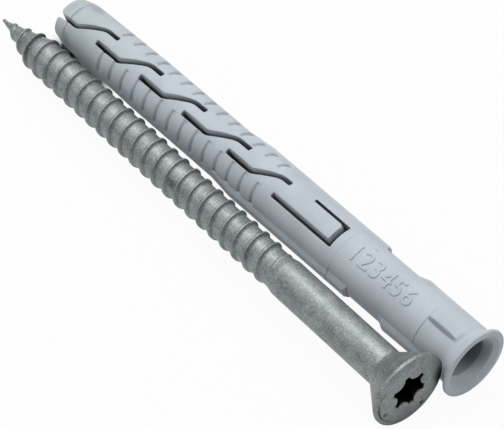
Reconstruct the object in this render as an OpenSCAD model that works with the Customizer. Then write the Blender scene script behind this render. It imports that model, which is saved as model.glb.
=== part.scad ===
// Frame anchor: a moulded nylon sleeve lying beside its countersunk screw, both at rest on the floor.
// Each piece is built upright, with Z as the depth below its mouth or head, and then laid down.

/* [Sleeve] */
// Length of the sleeve, mouth to tip
sleeve_l = 101; // [100:1:200]
// Diameter of the sleeve's body, the size of the hole in the wall
body_d = 10; // [9.6:0.1:11]
// Diameter of the plain neck, a touch under the body
neck_d = 9.85; // [9.4:0.05:10.5]
// Depth of the seam where the collar meets the neck
collar_l = 9.2; // [8:0.1:12]
// Length of the neck, from the collar seam to the body seam
neck_l = 20; // [18:0.5:40]

/* [Mouth] */
// Diameter of the flared rim
rim_d = 13; // [12:0.1:15]
// Thickness of the rim at its edge
rim_t = 0.6; // [0.5:0.05:1.4]
// Radius that rounds the rim's front edge
rim_round = 0.3; // [0.1:0.05:0.45]
// Length of the flare behind the rim
flare_l = 2.9; // [1.5:0.1:3.2]
// Width of the flat lip round the mouth
lip_w = 1.1; // [0.6:0.05:1.4]
// Depth of the countersink in the mouth
sink_l = 2; // [1.5:0.1:3]

/* [Bore] */
// Free play between the screw thread and the wide bore, on the diameter
bore_clearance = 0.3; // [0.2:0.05:0.6]
// Diameter of the narrow bore where the slots begin
grip_d = 5; // [4:0.1:5.6]
// Diameter of the narrow bore at the tip
tip_bore_d = 2.4; // [2.2:0.1:4.5]
// Length of the cone between the wide and the narrow bore
grip_cone_l = 4; // [2:0.5:6]

/* [Tip] */
// Diameter at the start of the tip's bevel
taper_d = 9.2; // [8.4:0.1:9.6]
// Length over which the body narrows towards the tip
taper_l = 21; // [14:0.5:26]
// Diameter of the flat end
tip_d = 7.8; // [6.4:0.1:8.2]
// Length of the bevel at the tip
bevel_l = 2.6; // [0.8:0.1:3]

/* [Expansion slots] */
// Width of a zigzag slot, measured across the sleeve
slot_w = 1; // [0.5:0.05:1.2]
// Distance of each straight leg from the crown line
slot_side = 1.5; // [1.2:0.01:1.8]
// Spacing of the slots along the sleeve
slot_pitch = 11.2; // [10.5:0.1:14]
// Length of the slot leg nearer the mouth
slot_near_l = 2.6; // [1.5:0.1:4]
// Length of that leg on the slot nearest the mouth
slot_start_l = 1.6; // [1.5:0.1:4]
// Length of the sloping run between the legs
slot_slope_l = 5.1; // [4:0.1:8]
// Length of the slot leg nearer the tip
slot_far_l = 5.5; // [3:0.1:6.2]
// Length of the soft bend at the mouth end of the sloping run
slot_bend_l = 1.8; // [0.4:0.1:3]
// Length of the sharper bend at its tip end
slot_corner_l = 1.2; // [0.2:0.1:2]
// Length of the open slot that splits the tip
split_l = 12.6; // [11:0.1:14.5]
// Plain length kept between the tongue's short slot and the nearest zigzag slot, at least
slot_gap = 3; // [2:0.5:6]

/* [Locking tongue] */
// Distance from the body seam to the cut across the tongue
tongue_gap = 2.1; // [1.2:0.1:3]
// Length of the long slot beside the tongue
tongue_long_l = 13.9; // [10:0.1:18]
// Length of the short slot beside the tongue
tongue_short_l = 7.7; // [5:0.1:9.5]
// Distance of the long slot from the crown line
tongue_long_side = 1.78; // [1.6:0.01:2.1]
// Distance of the short slot from the crown line
tongue_short_side = 2.26; // [2.2:0.01:2.7]
// Width of the long slot
tongue_long_w = 0.9; // [0.5:0.05:1.1]
// Width of the short slot
tongue_short_w = 0.6; // [0.3:0.05:0.7]
// Width of the cut across the tongue's free end
tongue_cross_w = 1.1; // [0.5:0.05:1.2]
// Corner cut off the tongue's free end, beside the short slot
tongue_chamfer = 0.7; // [0.3:0.05:1]
// Smaller corner cut off it, beside the long slot
tongue_corner = 0.25; // [0.1:0.05:0.6]

/* [Barbs] */
// Spacing of the saw-tooth barbs
barb_pitch = 3.07; // [2.8:0.01:4]
// Depth of each barb's step
barb_depth = 0.35; // [0.2:0.05:0.5]
// Length of each barb's gentle slope
barb_ramp = 1.2; // [0.8:0.05:1.6]
// Distance of the barb nearest the tip from the tip
barb_tip_gap = 12.3; // [10:0.1:15]
// Distance of the barb nearest the mouth beyond the nearest slot's end, about
barb_slot_gap = 4.7; // [3:0.1:8]
// Angle from the crown at which the barbs on the long-slot side begin
barb_from_long = 21.5; // [20:0.5:24]
// Angle from the crown at which the barbs on the short-slot side begin
barb_from_short = 28; // [26:0.5:45]
// Angle from the crown at which the barbs end
barb_to = 74; // [60:0.5:80]

/* [Side strips] */
// Half of the angle that each side strip spans at its foot
strip_half = 20; // [14:0.5:25]
// Half of the angle that its round top spans, between two sloping flanks
strip_top_half = 10; // [4:0.5:12]
// Diameter over the long strips
strip_d = 11.05; // [10.6:0.05:12]
// Length of a long strip on the neck side of the body seam
strip_lead = 4.4; // [2:0.1:8]
// Length of a long strip beyond the long slot's end
strip_tail = 8.5; // [4:0.1:12]
// Length of the ramp at a long strip's far end
strip_ramp = 5; // [2:0.1:8]
// Diameter over the collar strips, at their far end
collar_strip_d = 11.25; // [10.6:0.05:12]
// Depth at which the collar strips end
collar_strip_l = 15.9; // [13:0.1:20]
// Length of the short ramp at a collar strip's end
strip_nose = 1.4; // [0.4:0.1:2]
// Corner cut off a long strip's neck end
strip_corner = 0.35; // [0.1:0.05:0.5]

/* [Collar pad] */
// Height of the bare pad on the collar, and of the collar strips beside the flare
pad_h = 0.4; // [0.2:0.05:0.6]
// Depth at which the pad starts
pad_from_l = 2.6; // [2.5:0.1:5]
// Depth at which the pad ends
pad_l = 9.9; // [8:0.1:11]
// Length of the ramp at each end of the pad
pad_ramp = 1; // [0.2:0.1:1.5]
// Angle from the crown at which the pad's sloping edge starts
pad_edge_from = -9; // [-10:0.5:0]
// Angle that the sloping edge takes
pad_edge = 9.5; // [4:0.5:12]

/* [Screw] */
// Length of the screw, head face to point
screw_l = 107; // [90:1:200]
// Diameter over the thread
thread_d = 7; // [6.4:0.1:7.4]
// Diameter of the core under the thread
core_d = 6.2; // [5.6:0.1:6.3]
// Diameter of the plain shank
shank_d = 6.85; // [6.4:0.05:7.2]
// Depth at which the plain shank ends
shank_l = 31; // [20:0.5:60]
// Length over which the shank's end narrows
shank_end_l = 0.8; // [0.3:0.1:2]
// Diameter of the countersunk head
head_d = 13.9; // [12:0.1:15]
// Thickness of the head's edge
head_edge = 0.8; // [0.4:0.05:1.2]
// Corner cut off the edge of the head's face
head_corner = 0.13; // [0.05:0.01:0.3]
// Length of the head's cone
head_cone_l = 4.8; // [3:0.1:7]

/* [Thread] */
// Advance of the thread in one turn
thread_pitch = 3; // [2.4:0.1:4]
// Width of the thread ridge at its foot
ridge_foot = 0.8; // [0.6:0.05:1.4]
// Width of the thread ridge at its crest
ridge_crest = 0.25; // [0.1:0.05:0.5]
// Length over which the first ridge rises beside the shank
ridge_rise = 3.2; // [1.5:0.1:6]
// Length of the tapering point
point_l = 11.2; // [9:0.1:18]
// Height of the ridge on the point
point_ridge_h = 0.5; // [0.3:0.05:0.7]
// Turn of the screw about its own axis, in degrees
screw_spin = 0; // [0:5:355]

/* [Drive socket] */
// Size of the six-lobe socket across its lobes
socket_d = 6.75; // [5.6:0.05:7]
// Size of the socket between opposite flutes
socket_flute_d = 4.85; // [4:0.05:5.2]
// Radius of each flute
flute_r = 1.47; // [1.2:0.01:1.8]
// Depth of the socket
socket_l = 3.6; // [2.5:0.1:4.2]
// Turn of the socket about the screw's axis, in degrees
socket_turn = -15; // [-30:1:30]

/* [Rest] */
// Roll of the sleeve, which turns its crown towards the screw
sleeve_roll = 21.5; // [0:0.5:40]
// Distance of the screw's head face behind the sleeve's mouth
head_setback = 1.95; // [1.7:0.05:6]
// Gap between the screw's head and the sleeve beside it
head_gap = 0.15; // [0.1:0.05:3]
// Gap between the screw's thread and the sleeve's tip
tail_gap = 1.3; // [0.8:0.1:6]

/* [Hidden] */
$fn = 96;
// radii that follow from the diameters
body_r = body_d / 2;
neck_r = neck_d / 2;
rim_r = rim_d / 2;
taper_r = taper_d / 2;
tip_r = tip_d / 2;
strip_r = strip_d / 2;
thread_r = thread_d / 2;
core_r = core_d / 2;
shank_r = shank_d / 2;
head_r = head_d / 2;
bore_r = (thread_d + bore_clearance) / 2;
grip_r = grip_d / 2;
tip_bore_r = tip_bore_d / 2;
strip_near_r = body_r + pad_h;
// how far a cutting solid reaches past what it cuts
over = 1;
// depths along the sleeve
neck_end = collar_l + neck_l;
flare_end = rim_t + flare_l;
taper_start = sleeve_l - taper_l;
tongue_cut = neck_end + tongue_gap;
tongue_end = tongue_cut + tongue_long_l;
// the slots fill what the tongue leaves free, counted back from the split tip
slot_last = sleeve_l - split_l;
slot_n = floor((slot_last - tongue_cut - tongue_short_l - slot_gap) / slot_pitch) + 1;
slot_first = slot_last - (slot_n - 1) * slot_pitch;
// the barbs do the same
barb_last = sleeve_l - barb_tip_gap;
barb_n = floor((barb_last - slot_first - barb_slot_gap) / barb_pitch + 0.5) + 1;
strip_root_r = (bore_r + neck_r) / 2;
strip_near = neck_end - strip_lead;
strip_far = tongue_end + strip_tail;
// facets round one turn of the thread, and turns that fit before the point
turn_n = 24;
thread_in = shank_l - thread_pitch + ridge_foot;
thread_rows = floor((screw_l - thread_in - ridge_foot) / thread_pitch * turn_n);
// how each piece lies: its rim or head and its far end touch the floor
sleeve_tilt = atan((rim_r - body_r) / (taper_start - rim_t));
sleeve_z = rim_r * cos(sleeve_tilt) + rim_t * sin(sleeve_tilt);
screw_tilt = atan((head_r - thread_r) / (screw_l - point_l - head_edge));
screw_z = head_r * cos(screw_tilt) + head_edge * sin(screw_tilt);
// the head clears both the lower collar strip and the flare, whichever reaches further sideways
strip_reach = strip_near_r * cos(max(0, sleeve_roll - strip_top_half));
screw_tail_y = -(taper_r + thread_r + tail_gap);
head_swing = head_r * (strip_reach + head_r + head_gap + screw_tail_y) / (screw_l - point_l);
flare_reach = flare_at(head_setback + head_corner - head_swing);
screw_y = -(max(strip_reach, flare_reach) + head_r + head_gap);
screw_yaw = -asin((screw_tail_y - screw_y) / (screw_l - point_l));
// the box round both pieces, whose middle goes over the origin
front_x = rim_r * sin(sleeve_tilt);
back_x = -head_setback - screw_l * cos(screw_tilt) * cos(screw_yaw);
far_y = rim_r;
near_y = screw_y - head_r * cos(screw_yaw);
sleeve_color = "#b9c1c8";
screw_color = "#8d9492";

// radius of the sleeve's body at a depth, with the taper to the tip
function body_at(z) = z < taper_start ? body_r
    : body_r - (body_r - taper_r) * (z - taper_start) / (taper_l - bevel_l);

// radius of the mouth at a depth: the rim, then a hollow flare down to the body
function flare_at(z) = body_r + (rim_r - body_r) * pow(1 - max(0, min(1, (z - rim_t) / flare_l)), 2);

// the rim's rounded front edge and the flare behind it, as [radius, depth]
function rim_points(n = 6) = [for (i = [0:n]) let (t = 90 * i / n)
    [rim_r - rim_round * (1 - sin(t)), rim_round * (1 - cos(t))]];
function flare_points(n = 10) = [for (i = [0:n]) let (z = rim_t + flare_l * i / n) [flare_at(z), z]];

// middle line of a zigzag slot as [side, depth]: a leg, a soft bend, a slope, a sharper bend, a leg
slot_lean = 2 * slot_side / slot_slope_l;
function slot_path(z, near_l, far_l, n = 6) = let (z1 = z + slot_near_l, z2 = z1 + slot_slope_l) concat(
    [[slot_side, z1 - near_l]],
    [for (i = [0:n]) let (t = i / n)
        [slot_side - slot_lean * slot_bend_l * t * t / 2, z1 + slot_bend_l * (t - 0.5)]],
    [for (i = [0:n]) let (t = 1 - i / n)
        [-slot_side + slot_lean * slot_corner_l * t * t / 2, z2 - slot_corner_l * (t - 0.5)]],
    [[-slot_side, z2 + far_l]]);

module sleeve_body() {
    rotate_extrude() polygon(concat(
        [[rim_r - lip_w, 0]],
        rim_points(),
        flare_points(),
        [[body_r, collar_l], [neck_r, collar_l], [neck_r, neck_end], [body_r, neck_end],
         [body_r, taper_start], [taper_r, sleeve_l - bevel_l], [tip_r, sleeve_l],
         [tip_bore_r, sleeve_l], [grip_r, slot_first + grip_cone_l], [bore_r, slot_first],
         [bore_r, sink_l]]));
}

// one long strip and one collar strip, on each side of the parting line
module side_strips() {
    edge = [body_r * sin(strip_half), body_r * cos(strip_half)];
    top = [strip_r * sin(strip_top_half), strip_r * cos(strip_top_half)];
    foot = edge + (edge - top) / 2;
    peak = top.y + top.x * (top.y - foot.y) / (foot.x - top.x);
    root_half = atan(foot.x / foot.y) - over / 2;
    intersection() {
        linear_extrude(sleeve_l) polygon([[foot.x, foot.y], [0, peak], [-foot.x, foot.y],
            [-foot.x, -foot.y], [0, -peak], [foot.x, -foot.y]]);
        for (side = [90, 270]) rotate_extrude(angle = 2 * root_half, start = side - root_half) {
            polygon([[strip_root_r, strip_near], [strip_r - strip_corner, strip_near],
                [strip_r, strip_near + strip_corner], [strip_r, strip_far],
                [body_r - over / 4, strip_far + strip_ramp * (1 + over / 4 / (strip_r - body_r))],
                [strip_root_r, strip_far]]);
            polygon([[strip_root_r, rim_t + flare_l / 2], [strip_near_r, rim_t + flare_l / 2],
                [collar_strip_d / 2, collar_strip_l], [neck_r - over / 4, collar_strip_l + strip_nose],
                [strip_root_r, collar_strip_l]]);
        }
    }
}

// bare raised pad on the collar, with one sloping edge
module collar_pad() {
    pad_from = pad_edge_from - pad_edge;
    pad_r = body_r + pad_h;
    slope_foot = [body_r * cos(pad_edge_from), body_r * sin(pad_edge_from)];
    slope_top = [pad_r * cos(pad_edge_from + pad_edge), pad_r * sin(pad_edge_from + pad_edge)];
    slope = atan2(slope_top.y - slope_foot.y, slope_top.x - slope_foot.x);
    difference() {
        rotate_extrude(angle = 90 - pad_from, start = pad_from) polygon([
            [strip_root_r, pad_from_l], [body_r - over / 4, pad_from_l], [pad_r, pad_from_l + pad_ramp],
            [pad_r, pad_l - pad_ramp], [body_r - over / 4, pad_l], [strip_root_r, pad_l]]);
        translate([slope_foot.x, slope_foot.y, 0]) rotate([0, 0, slope])
            translate([-body_r / 3, -body_r, 0]) cube([body_d, body_r, collar_l + pad_l]);
    }
}

// saw-tooth grooves between two angles, steep on the tip side
module barb_cuts(from, to) {
    rotate_extrude(angle = to - from, start = from) for (i = [0:barb_n - 1]) {
        z = barb_last - i * barb_pitch;
        r = body_at(z);
        rise = barb_depth / 2;
        polygon([[r - barb_depth, z], [r + rise, z],
            [r + rise, z - barb_ramp * (1 + rise / barb_depth)]]);
    }
}

module all_barb_cuts() {
    barb_cuts(-barb_to, -barb_from_long);
    barb_cuts(barb_from_short, barb_to);
    barb_cuts(180 - barb_to, 180 - barb_from_short);
    barb_cuts(180 + barb_from_long, 180 + barb_to);
}

// cuts a plan drawn as [side, depth] through the sleeve, from the crown inwards
module cut_from_crown(reach) {
    rotate([90, 0, 90]) translate([0, 0, body_d - reach]) linear_extrude(reach) children();
}

// zigzag slots through both walls, round at the ends; the last one runs out of the tip
module zigzag_slots() {
    half = slot_w / 2;
    shift = half * tan(atan(slot_lean) / 2);
    for (i = [0:slot_n - 1]) {
        path = slot_path(slot_first + i * slot_pitch, i == 0 ? slot_start_l : slot_near_l,
            i == slot_n - 1 ? split_l : slot_far_l);
        last = len(path) - 1;
        cut_from_crown(2 * body_d) {
            polygon(concat(
                [path[0] + [half, 0]],
                [for (j = [1:last - 1]) path[j] + [half, shift]],
                [path[last] + [half, 0], path[last] - [half, 0]],
                [for (j = [last - 1:-1:1]) path[j] - [half, shift]],
                [path[0] - [half, 0]]));
            for (p = [path[0], path[last]]) translate(p) circle(r = half, $fn = 24);
        }
    }
}

// U-shaped cut that frees the locking tongue in the crown wall only
module tongue_slot() {
    z = tongue_cut - tongue_cross_w / 2;
    left = -tongue_long_side - tongue_long_w / 2;
    right = tongue_short_side + tongue_short_w / 2;
    cut_from_crown(body_d) polygon([
        [left, z], [right, z], [right, tongue_cut + tongue_short_l],
        [right - tongue_short_w, tongue_cut + tongue_short_l],
        [right - tongue_short_w, z + tongue_cross_w + tongue_chamfer],
        [right - tongue_short_w - tongue_chamfer, z + tongue_cross_w],
        [left + tongue_long_w + tongue_corner, z + tongue_cross_w],
        [left + tongue_long_w, z + tongue_cross_w + tongue_corner],
        [left + tongue_long_w, tongue_end], [left, tongue_end]]);
}

module anchor_sleeve() {
    color(sleeve_color) lay([0, 0, sleeve_z], 0, sleeve_tilt, sleeve_roll) difference() {
        union() {
            difference() {
                sleeve_body();
                all_barb_cuts();
            }
            side_strips();
            collar_pad();
        }
        zigzag_slots();
        tongue_slot();
    }
}

// head, plain shank and the shank's narrowed end
module head_and_shank() {
    rotate_extrude() polygon([
        [0, 0], [head_r - head_corner, 0], [head_r, head_corner], [head_r, head_edge],
        [shank_r, head_edge + head_cone_l], [shank_r, shank_l - shank_end_l],
        [(shank_r + core_r) / 2, shank_l], [0, shank_l]]);
}

module drive_socket() {
    rotate([0, 0, socket_turn]) translate([0, 0, -over]) difference() {
        cylinder(r = socket_d / 2, h = socket_l + over);
        for (i = [0:5]) rotate([0, 0, 30 + 60 * i]) translate([socket_flute_d / 2 + flute_r, 0, -over])
            cylinder(r = flute_r, h = socket_l + 3 * over);
    }
}

// radius of the thread's core, a straight cone at the point, and of its crest, at a depth
function core_at(z) = core_r * min(1, (screw_l - z) / point_l);
function crest_at(z) = min(thread_r, core_at(z) + point_ridge_h * min(1, (screw_l - z) / thread_pitch));
function ridge_at(z) = core_at(z)
    + (crest_at(z) - core_at(z)) * max(0, min(1, (z - shank_l) / ridge_rise));
function at_turn(k, r, z) = [r * cos(360 * k / turn_n), r * sin(360 * k / turn_n), z];

// the four points of the ridge at one step of the helix: foot, crest, crest, foot
function ridge_points(k) = let (
    z = thread_in + thread_pitch * k / turn_n,
    z0 = z - ridge_foot / 2, z1 = z - ridge_crest / 2, z2 = z + ridge_crest / 2, z3 = z + ridge_foot / 2)
    [at_turn(k, core_at(z0), z0), at_turn(k, ridge_at(z1), z1),
     at_turn(k, ridge_at(z2), z2), at_turn(k, core_at(z3), z3)];

// right-hand thread as one closed skin: a ring inside the shank, the ridge and land, and the point
module threaded_end() {
    n = turn_n;
    last = thread_rows;
    tip = n + 4 * (last + 1);
    points = concat(
        [for (i = [0:n - 1]) at_turn(i, core_r, thread_in - ridge_foot)],
        [for (k = [0:last]) each ridge_points(k)],
        [[0, 0, screw_l]]);
    function at(k, j) = n + 4 * k + j;
    function quad(a, b, c, d) = [[a, d, c], [a, c, b]];
    seam = [at(n - 1, 0), at(n, 0), at(0, 3), at(0, 2), at(0, 1), at(0, 0), 0];
    end_wall = [at(last - n, 3), at(last, 0), at(last, 1), at(last, 2), at(last, 3)];
    polyhedron(points, concat(
        [[for (i = [0:n - 1]) i]],
        [for (i = [0:n - 2]) each quad(i, i + 1, at(i + 1, 0), at(i, 0))],
        [for (i = [0:len(seam) - 2]) [n - 1, seam[i], seam[i + 1]]],
        [for (k = [0:last - 1], j = [0:2]) each quad(at(k, j), at(k + 1, j), at(k + 1, j + 1), at(k, j + 1))],
        [for (k = [0:last - n - 1]) each quad(at(k, 3), at(k + 1, 3), at(k + 1 + n, 0), at(k + n, 0))],
        [for (k = [last - n:last - 1]) [at(k, 3), tip, at(k + 1, 3)]],
        [for (i = [0:3]) [end_wall[i], end_wall[i + 1], tip]]));
}

module countersunk_screw() {
    color(screw_color) lay([-head_setback, screw_y, screw_z], screw_yaw, screw_tilt, screw_spin) {
        difference() {
            head_and_shank();
            drive_socket();
        }
        threaded_end();
    }
}

// lays an upright piece along X, mouth or head to +X, and centres the pair over the origin
module lay(place, yaw, tilt, roll) {
    translate([-(front_x + back_x) / 2, -(far_y + near_y) / 2, 0])
        translate(place) rotate([0, 0, yaw]) rotate([0, -tilt, 0]) rotate([roll, 0, 0])
            rotate([0, -90, 0]) children();
}

anchor_sleeve();
countersunk_screw();
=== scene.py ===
"""Frame anchor: a light grey nylon sleeve lying beside its galvanised countersunk screw, on a pale floor."""
import math

import bmesh
import bpy
import numpy as np
from mathutils import Matrix, Vector


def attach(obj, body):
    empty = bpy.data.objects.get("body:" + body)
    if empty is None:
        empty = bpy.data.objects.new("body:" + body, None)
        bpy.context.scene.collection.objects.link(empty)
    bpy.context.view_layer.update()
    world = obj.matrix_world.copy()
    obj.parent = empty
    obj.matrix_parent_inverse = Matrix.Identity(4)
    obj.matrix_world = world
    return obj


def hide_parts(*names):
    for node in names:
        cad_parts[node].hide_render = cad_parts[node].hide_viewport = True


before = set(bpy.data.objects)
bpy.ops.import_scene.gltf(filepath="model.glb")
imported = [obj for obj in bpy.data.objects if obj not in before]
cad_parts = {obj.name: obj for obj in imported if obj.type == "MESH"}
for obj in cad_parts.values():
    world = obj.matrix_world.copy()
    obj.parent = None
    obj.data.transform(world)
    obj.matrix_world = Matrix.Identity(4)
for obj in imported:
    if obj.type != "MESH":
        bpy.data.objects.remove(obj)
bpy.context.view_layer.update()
MM = 0.001
# how each piece lies, in millimetres and degrees, as the solids do: place, yaw, tilt, roll
SLEEVE_LIES = ((54.3489, 6.51208, 6.51017), 0.0, 1.08229, 21.5)
SCREW_LIES = ((52.3989, -6.06592, 6.97446), -1.90103, 2.07983, 0.0)
# points that round to the same step, 0.1 micrometre, are one point
STEPS_A_METRE = 1e7
# edges stay crisp where they are sharper than this, in degrees
SLEEVE_SHARP, SCREW_SHARP, FIGURE_SHARP = 32, 38, 40


# small helpers
def in_scene(name, data):
    """New object that holds the data, linked to the scene."""
    thing = bpy.data.objects.new(name, data)
    bpy.context.scene.collection.objects.link(thing)
    return thing


def finished_mesh(thing):
    """New mesh of an object, as its modifiers or its curve settings leave it."""
    bpy.context.view_layer.update()
    return bpy.data.meshes.new_from_object(thing.evaluated_get(bpy.context.evaluated_depsgraph_get()))


def shade(mesh, sharp):
    """Smooth shading, except that edges sharper than the angle in degrees stay crisp."""
    mesh.shade_smooth()
    mesh.set_sharp_from_angle(angle=math.radians(sharp))


def in_triangles(mesh):
    """Splits each face of a mesh into triangles, so that a cut through it leaves only flat faces."""
    work = bmesh.new()
    work.from_mesh(mesh)
    bmesh.ops.triangulate(work, faces=work.faces[:])
    work.to_mesh(mesh)
    work.free()


def ease(t):
    """Smooth step from 0 to 1: three squares less two cubes."""
    t = np.clip(t, 0, 1)
    return t * t * (3 - 2 * t)


def groove(depth, at, half, deep):
    """Depth of a round-bottomed groove, a bell curve with its middle at a depth."""
    return deep * np.exp(-((depth - at) / half) ** 2)


def between(turn, low, high, soft_low, soft_high):
    """1 between two angles and 0 outside them, with a smooth step inside each."""
    return ease((turn - low) / soft_low) * ease((high - turn) / soft_high)


def lumps(angle, depth, size):
    """Height, about -1 to 1, of a coat of zinc as it flows: a sum of sine waves round and along a piece."""
    waves = ((1, 0.21, 0.3), (2, -0.47, 1.9), (3, 0.83, 0.7), (5, -1.31, 2.6), (7, 2.1, 4.0), (4, 3.3, 1.1))
    return sum(np.sin(n * angle + k * depth / size + p) for n, k, p in waves) / len(waves)


# the camera fitted to the photograph: place in millimetres, then azimuth, elevation and roll in degrees
CAMERA_PLACE = (245.7302, -257.5974, 363.7106)
CAMERA_TURNS = (42.6754, 45.6229, 8.3874)
SENSOR_W, LENS, NEAREST, FARTHEST = 36.0, 217.755, 0.05, 10.0


def photo_camera():
    """Camera at its place, looking along ahead, turned about that line by the roll. The lens gives 3048.57 px
    on a frame 504 px wide."""
    az, el, roll = (math.radians(a) for a in CAMERA_TURNS)
    ahead = Vector((-math.sin(az) * math.cos(el), math.cos(az) * math.cos(el), -math.sin(el)))
    level = ahead.cross(Vector((0, 0, 1))).normalized()
    up = level.cross(ahead)
    side = math.cos(roll) * level + math.sin(roll) * up
    top = math.cos(roll) * up - math.sin(roll) * level
    data = bpy.data.cameras.new("photo_camera")
    data.sensor_fit, data.sensor_width, data.lens = "HORIZONTAL", SENSOR_W, LENS
    data.clip_start, data.clip_end = NEAREST, FARTHEST
    camera = in_scene("photo_camera", data)
    turn = Matrix((side, top, -ahead)).transposed().to_4x4()
    camera.matrix_world = Matrix.Translation(Vector(CAMERA_PLACE) * MM) @ turn
    bpy.context.scene.camera = camera


# how points become a piece
def laid(points, lies):
    """An upright piece's points (millimetres, Z as depth below its mouth or head) where it lies, in metres:
    a quarter turn to lie along X, then roll about X, tilt about Y, yaw about Z, then the place."""
    place, yaw, tilt, roll = lies
    x, y, z = -points[..., 2], points[..., 1], points[..., 0]
    r, t, w = (math.radians(a) for a in (roll, tilt, yaw))
    y, z = y * math.cos(r) - z * math.sin(r), y * math.sin(r) + z * math.cos(r)
    x, z = x * math.cos(t) - z * math.sin(t), x * math.sin(t) + z * math.cos(t)
    x, y = x * math.cos(w) - y * math.sin(w), x * math.sin(w) + y * math.cos(w)
    return (np.stack([x, y, z], -1) + np.array(place)) * MM


def round_axis(r, angle, depth):
    """Points at a radius, an angle from the crown in radians and a depth, as an upright piece's x, y, z."""
    return np.stack([r * np.cos(angle), r * np.sin(angle), depth], -1)


def grid_faces(rows, columns, wrap=True):
    """Quads of a grid of rows by columns. Where it wraps, the last column joins the first."""
    i, j = np.meshgrid(np.arange(rows - 1), np.arange(columns if wrap else columns - 1), indexing="ij")
    k = (j + 1) % columns
    here, beyond = i * columns, (i + 1) * columns
    return np.stack([here + j, here + k, beyond + k, beyond + j], -1).reshape(-1, 4)


def solid(name, sheets, lies, material, sharp):
    """One closed mesh from sheets of (points, faces). Points that round to the same step become one, faces
    that shrink to a line or a point go, and edges sharper than the angle stay crisp."""
    start = np.cumsum([0] + [len(p) for p, _ in sheets])
    points = laid(np.concatenate([p for p, _ in sheets]), lies)
    faces = np.concatenate([f + s for (_, f), s in zip(sheets, start)])
    steps = np.round(points * STEPS_A_METRE).astype(np.int64)
    _, first, index = np.unique(steps, axis=0, return_index=True, return_inverse=True)
    faces = index.reshape(-1)[faces]
    distinct = (faces != np.roll(faces, 1, 1)).sum(1)
    quads, threes = faces[distinct == 4], faces[distinct == 3]
    threes = threes[threes != np.roll(threes, 1, 1)].reshape(-1, 3)
    mesh = bpy.data.meshes.new(name)
    mesh.from_pydata(points[first].tolist(), [], quads.tolist() + threes.tolist())
    mesh.materials.append(material)
    shade(mesh, sharp)
    mesh.validate()
    return in_scene(name, mesh)


# the screw, in millimetres and degrees
SCREW_L, HEAD_R, HEAD_EDGE, SHANK_R, SHANK_L, CONE_L = 107.0, 6.95, 0.8, 3.425, 31.0, 4.8
CORE_R, THREAD_R, PITCH, POINT_L, POINT_RIDGE = 3.1, 3.5, 3.0, 11.2, 0.5
SOCKET_R, FLUTE_R, FLUTE_AT, SOCKET_L, SOCKET_TURN = 3.375, 1.47, 3.895, 3.6, -15.0
# depth of the hollow in the socket's floor, and how wide its mouth opens, as a share of the outline
SOCKET_FLOOR, SOCKET_MOUTH = 0.9, 1.06
# radii that round the head's front and back edges, and the length of the one at the back
FRONT_ROUND, BACK_ROUND, BACK_ROUND_L = 0.3, 0.12, 0.2
# fillet between cone and shank: half its length, and its height
CONE_FILLET_HALF, CONE_FILLET = 0.3, 0.05
# the shank's end: where it starts to narrow, over what length, how far under the core, and where it closes
SHANK_END_LEAD, SHANK_END_L, UNDER_CORE, SHANK_CLOSE = 1.2, 2.2, 0.03, 1.1
# groove inside the head's edge: radius, half width, and depth all round
FACE_GROOVE_R, FACE_GROOVE_HALF, FACE_GROOVE = 6.25, 0.14, 0.02
# how much deeper it is on one side, and in radians that side's half width and how far its middle is past the
# place farthest from the sleeve
GROOVE_SIDE, GROOVE_SIDE_HALF, GROOVE_SIDE_TURN = 0.22, 0.75, 0.2
# dents in the head's face: place across it, half width and depth, then half size and share of their dark mark
HEAD_DENTS = ((-4.82, 3.27, 0.38, 0.22, 0.8, 0.92), (-3.4, 3.0, 0.16, 0.08, 0.35, 0.6),
              (-2.67, -4.75, 0.4, 0.12, 0.8, 0.65), (5.6, 0.0, 0.5, 0.05, 0.7, 0.3))
# lumps of the zinc coat on shank and thread: height and size
SHANK_LUMP, SHANK_LUMP_SIZE, THREAD_LUMP, THREAD_LUMP_SIZE = 0.022, 1.6, 0.018, 1.3
# the thread: steps in a turn, width of the ridge's foot, length over which the first ridge rises
THREAD_STEPS, RIDGE_FOOT, RIDGE_RISE = 84, 0.8, 3.2
# the ridge across: half its crest, its flank, how much longer that gets on the point, and over what length
CREST_HALF, FLANK_L, SOFT_FLANK_L, SOFT_OVER_L = 0.13, 0.27, 0.45, 10
# fillet at the ridge's foot: place, half width, depth, and the length of the point that has none
FOOT_AT, FOOT_HALF, FOOT_DEEP, FOOT_ENDS = 0.47, 0.1, 0.05, 9
# the ridge on the point: share left at the end, where it starts to grow and over what length, and the length
# over which it runs out
POINT_SHARE, GROWS_FROM, GROWS_OVER, RIDGE_OUT_L = 0.4, 1, 8, 2.5
# the blunt nib: radius and length
NIB_R, NIB_L = 0.32, 0.5


def socket_angles():
    """Angles of one sixth of the six-lobe outline, dense on the flute's arc, six times round."""
    corner = math.degrees(math.asin(FLUTE_R / FLUTE_AT))
    sixth = np.concatenate([np.linspace(-corner, corner, 21), np.linspace(corner, 60 - corner, 8)[1:-1]])
    return np.radians(np.concatenate([sixth + 30 + 60 * i for i in range(6)]) + SOCKET_TURN)


def socket_radius(angle):
    """Distance from the axis to the six-lobe outline: the outer circle, or the near side of the flute's."""
    off = (angle - math.radians(SOCKET_TURN + 30) + math.pi / 6) % (math.pi / 3) - math.pi / 6
    inside = np.maximum(FLUTE_R ** 2 - (FLUTE_AT * np.sin(off)) ** 2, 0)
    return np.where(inside > 0, np.minimum(FLUTE_AT * np.cos(off) - np.sqrt(inside), SOCKET_R), SOCKET_R)


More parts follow.
